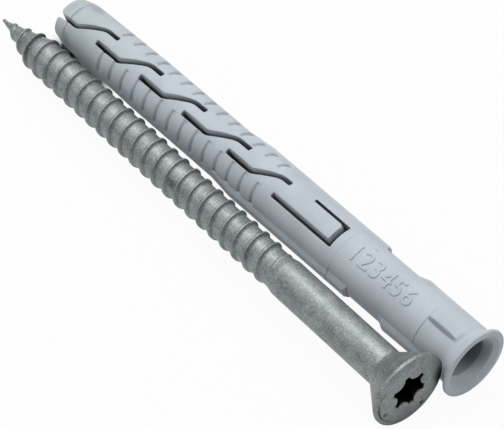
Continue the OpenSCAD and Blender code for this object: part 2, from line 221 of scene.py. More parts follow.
def head_profile():
    """Rows of (share of the six-lobe outline, radius, depth): the socket from its floor to its mouth, the
    face, its rounded edges, the cone with a fillet at its foot, the shank, and the shank's narrowed end."""
    turn = np.radians(np.linspace(0, 90, 5))
    rows = [(0, 0, SOCKET_L + SOCKET_FLOOR), (0.5, 0, SOCKET_L + SOCKET_FLOOR / 2), (0.97, 0, SOCKET_L),
            (1, 0, SOCKET_L - 0.1), (1, 0, 2.0), (1, 0, 0.35), (1.005, 0, 0.16), (1.03, 0, 0.04),
            (SOCKET_MOUTH, 0, 0.0)]
    rows += [(SOCKET_MOUTH * (1 - f), (HEAD_R - 0.35) * f, 0.0) for f in np.linspace(0, 1, 32)[1:]]
    rows += [(0, HEAD_R - FRONT_ROUND + FRONT_ROUND * math.sin(a), FRONT_ROUND - FRONT_ROUND * math.cos(a))
             for a in turn[1:]]
    rows += [(0, HEAD_R - BACK_ROUND + BACK_ROUND * math.cos(a),
              HEAD_EDGE - BACK_ROUND + BACK_ROUND_L * math.sin(a)) for a in turn[:-1]]
    end = HEAD_EDGE + CONE_L
    slope = (HEAD_R - SHANK_R) / CONE_L
    cone = np.linspace(HEAD_EDGE + 0.2, end - 0.5, 9)
    for z in (*cone, *(end + np.array([-0.3, -0.15, 0, 0.15, 0.3, 0.6, 1.2]))):
        straight = HEAD_R - slope * (z - HEAD_EDGE)
        rows.append((0, max(SHANK_R, straight) + groove(z, end, CONE_FILLET_HALF, CONE_FILLET), z))
    rows += [(0, SHANK_R, z) for z in np.linspace(end + 1.8, SHANK_L - 1.4, 34)]
    rows += [(0, SHANK_R - (SHANK_R - CORE_R + UNDER_CORE) * float(ease(t)),
              SHANK_L - SHANK_END_LEAD + SHANK_END_L * t) for t in np.linspace(0, 1, 9)]
    return rows + [(0, 0, SHANK_L + SHANK_CLOSE)]


def head_and_shank():
    """Profile carried round the axis. Inside the head's face its radius is a share of the six-lobe outline,
    outside it is a circle. The face is sunk by a groove and dents, and the rest carries the zinc's lumps."""
    angle = socket_angles()
    share, radius, depth = np.array(head_profile()).T
    r = share[:, None] * socket_radius(angle)[None] + radius[:, None]
    z = np.repeat(depth[:, None], len(angle), 1)
    x, y = r * np.cos(angle), r * np.sin(angle)
    # angle from the middle of the side on which the groove is deep
    off = np.abs((angle + math.pi / 2 + GROOVE_SIDE_TURN + math.pi) % (2 * math.pi) - math.pi)
    deep = FACE_GROOVE + groove(off, 0, GROOVE_SIDE_HALF, GROOVE_SIDE)
    sunk = groove(r, FACE_GROOVE_R, FACE_GROOVE_HALF, deep)
    sunk = sunk + sum(pit * np.exp(-((x - a) ** 2 + (y - b) ** 2) / wide ** 2)
                      for a, b, wide, pit, _, _ in HEAD_DENTS)
    # the face lies at a depth of 0
    is_face = (z < 0.001) & (r < HEAD_R - FRONT_ROUND)
    z = z + np.where(is_face, sunk, 0)
    coated = (depth[:, None] > HEAD_EDGE + 0.3) & (r > 1)
    r = r + np.where(coated, SHANK_LUMP * lumps(angle[None], z, SHANK_LUMP_SIZE), 0)
    return round_axis(r, angle, z).reshape(-1, 3), grid_faces(len(depth), len(angle))


def thread():
    """Right-hand helix: point (turn u, place v across one pitch) lies at depth start + pitch (u + v), at the
    radius of the tapering core plus a rounded ridge round v = 0. Both ends shrink to the axis, closed. The
    far edge of one turn is the near edge of the next: both are the same points, which merge."""
    start = SHANK_L - PITCH + RIDGE_FOOT
    side = np.array([0.07, 0.13, 0.18, 0.23, 0.28, 0.34, 0.4, 0.46, 0.53, 0.62, 0.8, 1.05, 1.25]) / PITCH
    v = np.concatenate([[-0.5], -side[::-1], [0.0], side, [0.5]])
    turns = (SCREW_L - start) / PITCH + 1.6
    u = np.arange(int((turns + 1) * THREAD_STEPS)) / THREAD_STEPS - 1
    angle = 2 * math.pi * u[:, None] + 0 * v[None]
    z = start + PITCH * (u[:, None] + v[None])
    left = SCREW_L - z
    nib = NIB_R * np.sqrt(1 - (1 - np.clip(left / NIB_L, 0, 1)) ** 2)
    core = np.maximum(CORE_R * np.clip(left / POINT_L, 0, 1), nib)
    grown = POINT_SHARE + (1 - POINT_SHARE) * np.clip((left - GROWS_FROM) / GROWS_OVER, 0, 1)
    height = POINT_RIDGE * grown * np.clip(left / RIDGE_OUT_L, 0, 1)
    crest = np.minimum(THREAD_R, core + height)
    away = np.abs(v[None]) * PITCH
    flank = FLANK_L + SOFT_FLANK_L * (1 - np.clip(left / SOFT_OVER_L, 0, 1))
    ridge = 1 - ease((away - CREST_HALF) / flank)
    foot = groove(away, FOOT_AT, FOOT_HALF, FOOT_DEEP) * (left > FOOT_ENDS)
    r = core + ((crest - core) * ridge - foot) * np.clip((z - SHANK_L) / RIDGE_RISE, 0, 1)
    r = r + THREAD_LUMP * lumps(angle, z, THREAD_LUMP_SIZE) * np.clip(core - 0.8, 0, 1)
    r = np.where((z <= start) | (z >= SCREW_L), 0, r)
    points = round_axis(r, angle, np.clip(z, start, SCREW_L))
    return points.reshape(-1, 3), grid_faces(*r.shape, wrap=False)[:, ::-1]


# the sleeve, in millimetres and degrees from the crown
SLEEVE_L, BODY_R, NECK_R, COLLAR_L, NECK_END = 101.0, 5.0, 4.925, 9.2, 29.2
RIM_R, RIM_T, RIM_ROUND, FLARE_L, LIP_W, SINK_L = 6.5, 0.6, 0.3, 2.9, 1.1, 2.0
BORE_R, GRIP_R, TIP_BORE_R, GRIP_FROM, GRIP_CONE_L = 3.65, 2.5, 1.2, 43.6, 4.0
TAPER_FROM, TAPER_R, TIP_R, BEVEL_L = 80.0, 4.6, 3.9, 2.6
# grooves at the collar's seam and before the bevel: depth, half width, how deep
SEAM_GROOVE, BEVEL_GROOVE = (COLLAR_L + 0.02, 0.07, 0.06), (SLEEVE_L - BEVEL_L, 0.36, 0.09)
# the seam from neck to body: between which depths it lies, and where and over what length the radius steps up
SEAM_NEAR, SEAM_FAR, STEP_FROM, STEP_L = 29.0, 29.5, 29.05, 0.35
# faint witness lines of the mould across the crown: depths, half width, how deep, and their angles
WITNESS_LINES, WITNESS_HALF, WITNESS_DEEP = (54.3, 60.9, 66.6, 72.8, 78.8, 85.0), 0.12, 0.035
WITNESS_SPAN = (-14, 30, 5, 8)
# the barbs: step nearest the tip, spacing, number, depth, and how far past its step a tooth starts
BARB_LAST, BARB_PITCH, BARBS, BARB_DEPTH, BARB_PAST = 88.72, 3.066, 14, 0.34, 0.1
# a tooth's shape: distances back from its start, and the share of its depth there
TOOTH = ((0, 0.06, 0.32, 0.42, 0.75, 1.4), (0, 0.05, 0.95, 1, 0.45, 0))
# where the barbs run round: low end, its soft length, high end, its soft length
BARB_SPANS = ((-80.0, 8.0, -21.5, 2.5), (28.0, 2.5, 74.0, 8.0),
              (106.0, 8.0, 152.0, 2.5), (201.5, 2.5, 260.0, 8.0))
# the ends nearest the crown and nearest the line opposite it
BARB_INNER_ENDS = (-21.5, 28.0, 152.0, 201.5)
# they are deeper away from these lines: share of their depth near them, what is added to it, from which
# angle on, and over how many degrees
BARB_SHARE, BARB_MORE, DEEPER_FROM, DEEPER_OVER = 0.75, 0.55, 22, 50
# one more shallow tooth beside the slot nearest the mouth: its shape by depth, how deep, and its angles
EXTRA_TOOTH, EXTRA_DEEP, EXTRA_SPAN = ((48.9, 49.9, 50.0, 50.3), (0, 0.9, 1, 0)), 0.2, (28, 80, 4, 8)
# strips on both sides: their sloping flank as a, b and c of the line a across + b outward = c, half the
# angle of their foot, and their radius by depth
FLANK_LINE, STRIP_HALF = (0.7431, 0.7506, 4.797), 20.4
LONG_STRIP = ((24.8, 24.801, 25.15, 53.7, 58.7, 58.701), (0, 5.175, 5.525, 5.525, 5.0, 0))
COLLAR_STRIP = ((2.05, 2.051, 15.9, 17.3, 17.301), (0, 5.4, 5.625, 4.925, 0))
# the bare pad on the collar: height, angle and width of its sloping edge, depths, and length of its far ramp
PAD_H, PAD_EDGE_AT, PAD_EDGE_W, PAD_FROM, PAD_TO, PAD_RAMP = 0.48, -9, 6, 2.95, 9.32, 0.27
# each zigzag slot as the photograph shows it: depths of its near end, bend, corner and far end, the distance
# of its near and far leg from the crown line, and its width
SLOTS = ((44.55, 46.2, 51.05, 56.6, 1.57, -1.19, 1.0), (54.7, 57.25, 62.3, 68.0, 1.62, -1.21, 1.0),
         (66.0, 68.4, 73.5, 79.1, 1.62, -1.31, 1.0), (77.1, 79.7, 84.75, 90.4, 1.47, -1.58, 0.98),
         (88.42, 91.0, 96.15, 104.0, 1.2, -1.75, 0.86))
SLOT_BEND_L, SLOT_CORNER_L = 1.8, 1.3
# how much a slot and the tongue's cut are narrower inside, and the share of it at a slot's four depths
SLOT_PINCH, TONGUE_PINCH, PINCH_ALONG = 0.37, 0.28, (0.4, 0.7, 1, 0.7)
# how square a slot's ends are: 1 is a half circle
SLOT_END_POWER = 0.55
# the split's edges at the tip: length over which they curve open, and how far to each side
OPENS_L, OPENS_RIGHT, OPENS_LEFT = 1.2, 0.85, 0.35
# how far under the skin a cut has its own outline, and over what length its walls lean in below and out above
CUT_SUNK, LEAN_L = 0.1, 1
TONGUE_CUT, TONGUE_LONG, TONGUE_SHORT, TONGUE_LEFT, TONGUE_RIGHT = 31.3, 13.9, 7.7, -2.22, 2.56


def turn_signed(angle):
    """Angle from the crown, from -180 to 180 degrees."""
    return (angle + 180) % 360 - 180


def flare(depth):
    """Body radius plus a parabola that opens to the rim at the mouth."""
    return BODY_R + (RIM_R - BODY_R) * (1 - np.clip((depth - RIM_T) / FLARE_L, 0, 1)) ** 2


def narrowed(depth):
    """How far the body has narrowed at a depth: nothing, then evenly until the bevel starts."""
    return (BODY_R - TAPER_R) * np.clip((depth - TAPER_FROM) / (SLEEVE_L - BEVEL_L - TAPER_FROM), 0, 1)


def barb_depth(angle, depth):
    """Depth of the barbs: a tooth repeated along the sleeve, times a share that is 1 on the barbs' stretches
    round the sleeve and 0 between them, times one that grows away from the crown and the line opposite."""
    back = (BARB_LAST + BARB_PAST - depth) / BARB_PITCH
    behind = (back - np.floor(back)) * BARB_PITCH
    tooth = BARB_DEPTH * np.interp(behind, *TOOTH)
    tooth = tooth * (back > 0) * (back < BARBS)
    turn = angle % 360
    share = np.zeros(np.broadcast(angle, depth).shape)
    for low, soft_low, high, soft_high in BARB_SPANS:
        for t in (turn, turn - 360):
            span = np.clip((t - low) / soft_low, 0, 1) * np.clip((high - t) / soft_high, 0, 1)
            share = np.maximum(share, span)
    from_crown = np.minimum(turn % 180, 180 - turn % 180)
    return tooth * share * (BARB_SHARE + BARB_MORE * np.clip((from_crown - DEEPER_FROM) / DEEPER_OVER, 0, 1))


def sleeve_radius(angle, depth):
    """Outer radius at an angle from the crown and a depth: flare, collar, neck and tapered body, less seams,
    barbs and witness lines, or where they stand higher the side strips and the collar pad."""
    signed = turn_signed(angle)
    r = np.where(depth < COLLAR_L, flare(depth), np.where(depth < NECK_END, NECK_R, BODY_R))
    r = r - narrowed(depth)
    r = r - (TAPER_R - TIP_R) * np.clip((depth - SLEEVE_L + BEVEL_L) / BEVEL_L, 0, 1)
    r = r - groove(depth, *SEAM_GROOVE)
    step = NECK_R + (BODY_R - NECK_R) * ease((depth - STEP_FROM) / STEP_L)
    r = np.where((depth > SEAM_NEAR) & (depth < SEAM_FAR), step, r)
    r = r - barb_depth(angle, depth)
    r = r - EXTRA_DEEP * np.interp(depth, *EXTRA_TOOTH) * between(signed, *EXTRA_SPAN)
    for z in WITNESS_LINES:
        r = r - groove(depth, z, WITNESS_HALF, WITNESS_DEEP) * between(signed, *WITNESS_SPAN)
    r = r - groove(depth, *BEVEL_GROOVE)
    # the strips, at an angle from the nearer side
    off = np.radians(np.abs(angle % 180 - 90))
    flank = FLANK_LINE[2] / (np.sin(off) * FLANK_LINE[0] + np.cos(off) * FLANK_LINE[1])
    flank = np.where(off > math.radians(STRIP_HALF), 0, flank)
    strip = np.maximum(np.interp(depth, *LONG_STRIP), np.interp(depth, *COLLAR_STRIP))
    r = np.maximum(r, np.minimum(flank, strip))
    # the pad, whose near end gets softer away from its edge
    pad = PAD_H * np.clip((signed - PAD_EDGE_AT) / PAD_EDGE_W, 0, 1) * (signed <= 90)
    soft = 0.5 + 0.5 * ease(signed / 20)
    pad = pad * np.clip((depth - PAD_FROM + soft) / soft, 0, 1) * np.clip((PAD_TO - depth) / PAD_RAMP, 0, 1)
    return np.where(pad > 0, np.maximum(r, flare(depth) + pad), r)


def sleeve_angles():
    """Angles in degrees: even steps, and more of them at the ends of barbs, strips and pad."""
    edges = [e + d for e in BARB_INNER_ENDS for d in (-2.5, -1.25, 0, 1.25, 2.5)]
    edges += [a + d for a in (70, 110, 250, 290) for d in (-0.5, 0, 0.5)] + [80, 100, 260, 280]
    edges += [-9.3, -9, -7, -5, -3, -2.7]
    return np.unique(np.round(np.concatenate([np.arange(0, 360, 2.5), np.array(edges) % 360]), 3))


def sleeve_depths():
    """Depths of the outer skin: dense at the flare, the seams, the ends of strips and pad, and each barb."""
    depth = [0.6, 1.0, 1.4, 1.8, 2.04, 2.06, 2.2, 2.4, 2.6, 2.75, 2.9, 3.2, 3.6, 4.2, 5, 6, 7, 8]
    depth += [8.6, 8.9, 9.05, 9.12, 9.17, 9.22, 9.27, 9.32, 9.5, 9.8]
    depth += [*np.arange(10.5, 15.5, 0.8), 15.9, 16.3, 16.9, 17.3, 17.31, *np.arange(18, 24.5, 0.8)]
    depth += [24.79, 24.81, 25.0, 25.15, 25.6, *np.arange(26.5, 28.5, 0.8)]
    depth += [28.95, 29.05, 29.15, 29.25, 29.35, 29.45, *np.arange(30.07, 48, 0.8), 53.7, 58.7, 58.71]
    for i in range(BARBS):
        z = BARB_LAST - i * BARB_PITCH
        depth += [z + d for d in (-2.2, -1.3, -1.0, -0.65, -0.45, -0.32, -0.22, -0.08, 0.04, 0.1, 0.4)]
    depth += [z + d for z in WITNESS_LINES for d in (-0.2, -0.1, 0, 0.1, 0.2)]
    depth += [*np.arange(89.5, 97.8, 0.8), 98.0, 98.15, 98.3, 98.4, 98.5, 98.65, 98.8, 99.4, 100.1, 100.8]
    return np.unique(np.round(depth, 3))


def sleeve_skin():
    """The sleeve as one closed loop carried round the axis: lip, rim, outer skin, tip, bore, countersink."""
    angle, depth = sleeve_angles(), sleeve_depths()
    skin = sleeve_radius(angle[None], depth[:, None])
    lip_r = RIM_R - LIP_W

    def ring(r, z):
        """One row of the loop: the same radius and depth at every angle."""
        return np.full((1, len(angle)), r), np.full((1, len(angle)), z)

    rows = [ring(lip_r, 0.0), ring(lip_r + 0.03, 0.0), ring(5.9, 0.0)]
    rows += [ring(RIM_R - RIM_ROUND * (1 - math.sin(a)), RIM_ROUND * (1 - math.cos(a)))
             for a in np.radians(np.linspace(0, 90, 5))]
    rows += [(skin, np.repeat(depth[:, None], len(angle), 1))]
    rows += [ring(TIP_R + 0.05, SLEEVE_L - 0.03), ring(TIP_R - 0.05, SLEEVE_L)]
    rows += [ring(r, SLEEVE_L) for r in (3.2, 2.4, 1.7, TIP_BORE_R)]
    rows += [ring(TIP_BORE_R + (GRIP_R - TIP_BORE_R) * f, SLEEVE_L + (GRIP_FROM + GRIP_CONE_L - SLEEVE_L) * f)
             for f in np.linspace(0, 1, 24)[1:]]
    rows += [ring(BORE_R, z) for z in np.linspace(GRIP_FROM, SINK_L, 16)]
    rows += [ring(BORE_R + (lip_r - BORE_R) * f, SINK_L * (1 - f)) for f in (0.25, 0.5, 0.75)]
    r = np.concatenate([a for a, _ in rows] + [rows[0][0]])
    z = np.concatenate([b for _, b in rows] + [rows[0][1]])
    return round_axis(r, np.radians(angle)[None], z).reshape(-1, 3), grid_faces(len(r), len(angle))


def prism(outlines, levels):
    """Closed prism from plan outlines of (side, depth), one for each level along the crown's direction."""
    n = len(outlines[0])
    points = np.concatenate([np.column_stack([np.full(n, x), plan]) for plan, x in zip(outlines, levels)])
    i = np.arange(n)
    sides = [np.stack([i, (i + 1) % n, (i + 1) % n + n, i + n], -1) + k * n for k in range(len(levels) - 1)]
    return points, np.concatenate(sides), [i[::-1].tolist(), (i + n * (len(levels) - 1)).tolist()]


def zigzag_plan(near_end, bend, corner, far_end, near_side, far_side, width, pinch):
    """Outline of one slot: a leg, a soft bend, a slope, a shorter soft corner and a leg, half the slot's
    width to each side, less the pinch on the side away from the screw, with rounded ends. The split opens in
    a curve at the tip."""
    t = np.linspace(0, 1, 9)
    lean = (near_side - far_side) / (corner - bend)
    side = np.concatenate([[near_side], near_side - lean * SLOT_BEND_L * t * t / 2,
                           far_side + lean * SLOT_CORNER_L * (1 - t) ** 2 / 2, [far_side]])
    depth = np.concatenate([[near_end], bend + SLOT_BEND_L * (t - 0.5), corner + SLOT_CORNER_L * (t - 0.5),
                            [far_end]])
    path = np.stack([side, depth], -1)
    half = width / 2
    upper = half - pinch * np.interp(depth, [near_end, bend, corner, far_end], PINCH_ALONG)[:, None]
    sloping = (np.arange(len(path)) > 0) & (np.arange(len(path)) < len(path) - 1)
    lift = np.stack([np.ones(len(path)), sloping * math.tan(math.atan(lean) / 2)], -1)
    right, left = path + upper * lift, path - half * lift
    a = np.linspace(0, math.pi, 13)[1:-1]
    across, along = np.cos(a), np.sin(a)
    bow = np.stack([np.sign(across) * np.abs(across) ** SLOT_END_POWER, np.abs(along) ** SLOT_END_POWER], -1)
    far_round = path[-1] + bow * np.where(bow[:, :1] > 0, [[upper[-1, 0], half]], [[half, half]])
    near_round = path[0] - bow * np.where(bow[:, :1] < 0, [[upper[0, 0], half]], [[half, half]])
    if far_end > SLEEVE_L:
        opened = 1 - np.sqrt(1 - (t * 0.999) ** 2)
        z = SLEEVE_L + 0.02 - OPENS_L * (1 - t)
        right_edge, left_edge = far_side + upper[-1, 0], far_side - half
        right = np.concatenate([right[:-1], np.stack([right_edge + OPENS_RIGHT * opened, z], -1),
                                [[right_edge + OPENS_RIGHT, far_end]]])
        left = np.concatenate([left[:-1], np.stack([left_edge - OPENS_LEFT * opened, z], -1),
                               [[left_edge - OPENS_LEFT, far_end]]])
        far_round = np.empty((0, 2))
    return np.concatenate([right, far_round, left[::-1], near_round])


def tongue_plan(pinch):
    """Outline of the U that frees the tongue: a long and a short leg joined by the cut across its free end.
    On the tongue's side the long leg is narrower by the pinch, and the others by a share of it."""
    z, low = TONGUE_CUT - 0.58, TONGUE_CUT + 0.55 - 0.7 * pinch
    left, right = TONGUE_LEFT, TONGUE_RIGHT
    long_end, short_end = TONGUE_CUT + TONGUE_LONG, TONGUE_CUT + TONGUE_SHORT
    # sides of the tongue, inside the long and the short leg
    inner_left, inner_right = left + (0.9 - pinch), right - (0.6 - 0.3 * pinch)
    return np.array([
        [left + 0.2, z], [right - 0.2, z], [right, z + 0.2],
        [right, short_end - 0.12], [right - 0.12, short_end],
        [inner_right + 0.12, short_end], [inner_right, short_end - 0.12],
        [inner_right, low + 0.75], [inner_right - 0.06, low + 0.5], [inner_right - 0.25, low + 0.22],
        [inner_right - 0.6, low], [inner_left + 0.3, low],
        [inner_left + 0.1, low + 0.1], [inner_left, low + 0.3],
        [inner_left, long_end - 0.15], [inner_left - 0.15, long_end],
        [left + 0.15, long_end], [left, long_end - 0.15], [left, z + 0.2]])


def cut_slots(piece, lies):
    """Takes the slots' prisms out of the sleeve's skin with Blender's exact Boolean and keeps the result.
    Their walls lean: a slot is pinched 1 mm under the skin, has its own width at it, and is wider above."""
    prisms = []
    for slot in SLOTS:
        skin = BODY_R - narrowed(slot[1]) - CUT_SUNK
        inside, above = (zigzag_plan(*slot, pinch) for pinch in (SLOT_PINCH, -SLOT_PINCH))
        levels = (-skin - LEAN_L, -skin + LEAN_L, skin - LEAN_L, skin + LEAN_L)
        prisms.append(prism((above, inside, inside, above), levels))
    # the tongue's cut goes through the crown wall only
    inside, above = (tongue_plan(pinch) for pinch in (TONGUE_PINCH, -TONGUE_PINCH))
    skin = BODY_R - CUT_SUNK
    prisms.append(prism((inside, inside, above), (0.0, skin - LEAN_L, skin + LEAN_L)))
    in_triangles(piece.data)
    cutters = []
    for points, quads, caps in prisms:
        mesh = bpy.data.meshes.new("cutter")
        mesh.from_pydata(laid(points, lies).tolist(), [], quads.tolist() + caps)
        in_triangles(mesh)
        cutter = in_scene("cutter", mesh)
        cutters.append(cutter)
        cut = piece.modifiers.new("cut", "BOOLEAN")
        cut.operation, cut.solver, cut.object = "DIFFERENCE", "EXACT", cutter
    done = finished_mesh(piece)
    piece.modifiers.clear()
    piece.data = done
    for cutter in cutters:
        bpy.data.objects.remove(cutter)
    shade(done, SLEEVE_SHARP)


# the figures: text, size, spacing, then half thickness without the bevel, bevel, and height of their middle
FIGURES, FIGURE_SIZE, FIGURE_SPACE = "123456", 4.55, 1.08
FIGURE_HALF, FIGURE_BEVEL, FIGURE_LIFT = 0.07, 0.03, 0.03
# depth where they start, and the distance round the neck from the crown to their foot line
FIGURES_FROM, FIGURES_DOWN = 27.6, 1.55


def size_figures(material):
    """Plain raised figures along the neck, 0.2 mm thick, of which 0.13 mm stands out. Their x runs along the
    sleeve and their y round it, so (x, y, h) goes to depth from - x, angle y / radius and radius + h."""
    text = bpy.data.curves.new("figures", "FONT")
    text.body, text.size, text.resolution_u = FIGURES, FIGURE_SIZE, 6
    text.extrude, text.bevel_depth, text.space_character = FIGURE_HALF, FIGURE_BEVEL, FIGURE_SPACE
    flat = in_scene("figures", text)
    mesh = finished_mesh(flat)
    bpy.data.objects.remove(flat)
    # cuts across the figures, so that their flat faces can bend round the neck
    work = bmesh.new()
    work.from_mesh(mesh)
    for height in np.arange(0.1, 3.6, 0.25):
        parts = work.verts[:] + work.edges[:] + work.faces[:]
        bmesh.ops.bisect_plane(work, geom=parts, plane_co=(0, height, 0), plane_no=(0, 1, 0))
    work.to_mesh(mesh)
    work.free()
    co = np.zeros(len(mesh.vertices) * 3)
    mesh.vertices.foreach_get("co", co)
    x, y, h = co.reshape(-1, 3).T
    points = round_axis(NECK_R + FIGURE_LIFT + h, (y - FIGURES_DOWN) / NECK_R, FIGURES_FROM - x)
    mesh.vertices.foreach_set("co", laid(points, SLEEVE_LIES).ravel())
    mesh.materials.clear()
    mesh.materials.append(material)
    shade(mesh, FIGURE_SHARP)
    return in_scene("neck_figures", mesh)


# how materials are put together
TINT = {"data_type": "RGBA", "blend_type": "MULTIPLY"}
TIMES, LARGER = {"operation": "MULTIPLY"}, {"operation": "MAXIMUM"}
OWN_NOOKS = {"samples": 8, "only_local": True}
WHITE = (1.0, 1.0, 1.0, 1.0)


def tone(hex_colour):
    """sRGB hex to linear red, green, blue and alpha 1."""
    s = np.array([int(hex_colour[i:i + 2], 16) / 255 for i in (1, 3, 5)])
    return (*np.where(s <= 0.04045, s / 12.92, ((s + 0.055) / 1.055) ** 2.4).tolist(), 1.0)


def empty_tree(owner):
    """The node tree of a material or a world, with nothing in it."""
    owner.use_nodes = True
    owner.node_tree.nodes.clear()
    return owner.node_tree


def add(tree, kind, settings=None, stops=(), **inputs):
    """Adds a node of a kind. Settings are its own values, stops a ramp's (position, hex) pairs, and inputs
    are numbers, colours or (node, output) links, by the socket's name or, as _0, _1 and so on, its number.
    MapRange takes _0 from the range _1 to _2 into the range _3 to _4. Mix goes by the share _0 from _6 to
    _7."""
    node = tree.nodes.new("ShaderNode" + kind)
    for name, value in (settings or {}).items():
        setattr(node, name, value)
    for _ in stops[2:]:
        node.color_ramp.elements.new(0.5)
    for index, (position, hex_colour) in enumerate(stops):
        node.color_ramp.elements[index].position = position
        node.color_ramp.elements[index].color = tone(hex_colour)
    for name, value in inputs.items():
        socket = node.inputs[int(name[1:])] if name[0] == "_" else node.inputs[name.replace("_", " ")]
        if isinstance(value, tuple) and isinstance(value[0], bpy.types.Node):
            tree.links.new(value[0].outputs[value[1]], socket)
        else:
            socket.default_value = value
    return node


def place_on(tree, lies, radius):
    """The point's place on a lying piece, as (minus depth, lateral, crown) in metres, and in millimetres as
    (depth below the mouth or head, way round it from the crown at the given radius)."""
    place, yaw, tilt, roll = lies
    world = add(tree, "TexCoord")
    own = add(tree, "Mapping", {"vector_type": "TEXTURE"}, Vector=(world, "Object"),
              Location=[c * MM for c in place], Rotation=[math.radians(a) for a in (roll, -tilt, yaw)])
    parts = add(tree, "SeparateXYZ", _0=(own, 0))
    depth = add(tree, "Math", TIMES, _0=(parts, 0), _1=-1 / MM)
    turn = add(tree, "Math", {"operation": "ARCTAN2"}, _0=(parts, 1), _1=(parts, 2))
    way = add(tree, "Math", TIMES, _0=(turn, 0), _1=radius)
    return own, add(tree, "CombineXYZ", _0=(depth, 0), _1=(way, 0))


def darken(tree, colour, place, spots, ragged=None, full=0.1):
    """Multiplies a colour by soft elliptical spots: (centre, half sizes, share taken at the centre). The
    share holds from the centre to full times the half sizes and fades from there to the edge, which the
    ragged value shifts in and out."""
    for centre, half, taken in spots:
        off = add(tree, "VectorMath", {"operation": "SUBTRACT"}, _0=place, _1=centre)
        off = add(tree, "VectorMath", {"operation": "DIVIDE"}, _0=(off, 0), _1=half)
        far = (add(tree, "VectorMath", {"operation": "LENGTH"}, _0=(off, 0)), 1)
        if ragged:
            far = (add(tree, "Math", {"operation": "ADD"}, _0=far, _1=ragged), 0)
        kept = add(tree, "MapRange", {"interpolation_type": "SMOOTHSTEP"}, _0=far, _1=full, _2=1.0,
                   _3=1 - taken, _4=1.0)
        colour = (add(tree, "Mix", TINT, _0=1.0, _6=colour, _7=(kept, 0)), 2)
    return colour


# sizes of the patterns, in cells a metre: grain and specks of 0.33 mm, clouds of 6.2 mm, patches of 2.4 mm
NYLON_GRAIN, NYLON_CLOUD, ZINC_SPECK, ZINC_PATCH = 3000.0, 160.0, 3000.0, 420.0
# dark marks on the sleeve: dirt in the seams at collar and body, a smudge, and darker bands and patches near
# the tip: (depth, way round), half sizes in millimetres, share of the colour taken
NYLON_MARKS = (((98.2, -1.5, 0), (0.5, 7.5, 1), 0.36), ((97.6, -6.3, 0), (1.9, 4.2, 1), 0.36),
              ((96.6, 3.6, 0), (2.1, 2.0, 1), 0.2), ((99.8, 0.5, 0), (1.6, 7.0, 1), 0.14),
              ((9.17, -3.8, 0), (0.2, 4.4, 1), 0.4), ((29.25, -6.4, 0), (0.24, 3.6, 1), 0.4),
              ((24.5, 2.8, 0), (0.9, 0.45, 1), 0.25))
# shade under the pad's sloping edge, in the same terms
PAD_SHADE = (((6.05, -0.5, 0), (3.4, 0.52, 1), 0.3),)
# the far wall of the bore: place as (minus depth, lateral, crown) and half sizes in metres, share taken
BORE_SHADE = (((-0.0035, 0.0030, -0.0022), (0.0048, 0.0054, 0.0054), 0.7),)
# the dark marks in the head's dents, in the same terms
HEAD_MARKS = tuple(((0.0, y * MM, x * MM), (MM, r * MM, r * MM), taken)
                   for x, y, _, _, r, taken in HEAD_DENTS)
# a bare, dirty place on the thread: (depth, way round), half sizes in millimetres, share taken
THREAD_DIRT = (((56.6, -3.5, 0), (2.2, 1.5, 1), 0.5),)
# deep shadow on the floor: place and half sizes in metres, share taken
SHADOW_POOL = (((-0.0455, 0.0039, 0), (0.0048, 0.0028, 1), 0.97),
               ((-0.0393, 0.0036, 0), (0.0080, 0.0021, 1), 0.9))


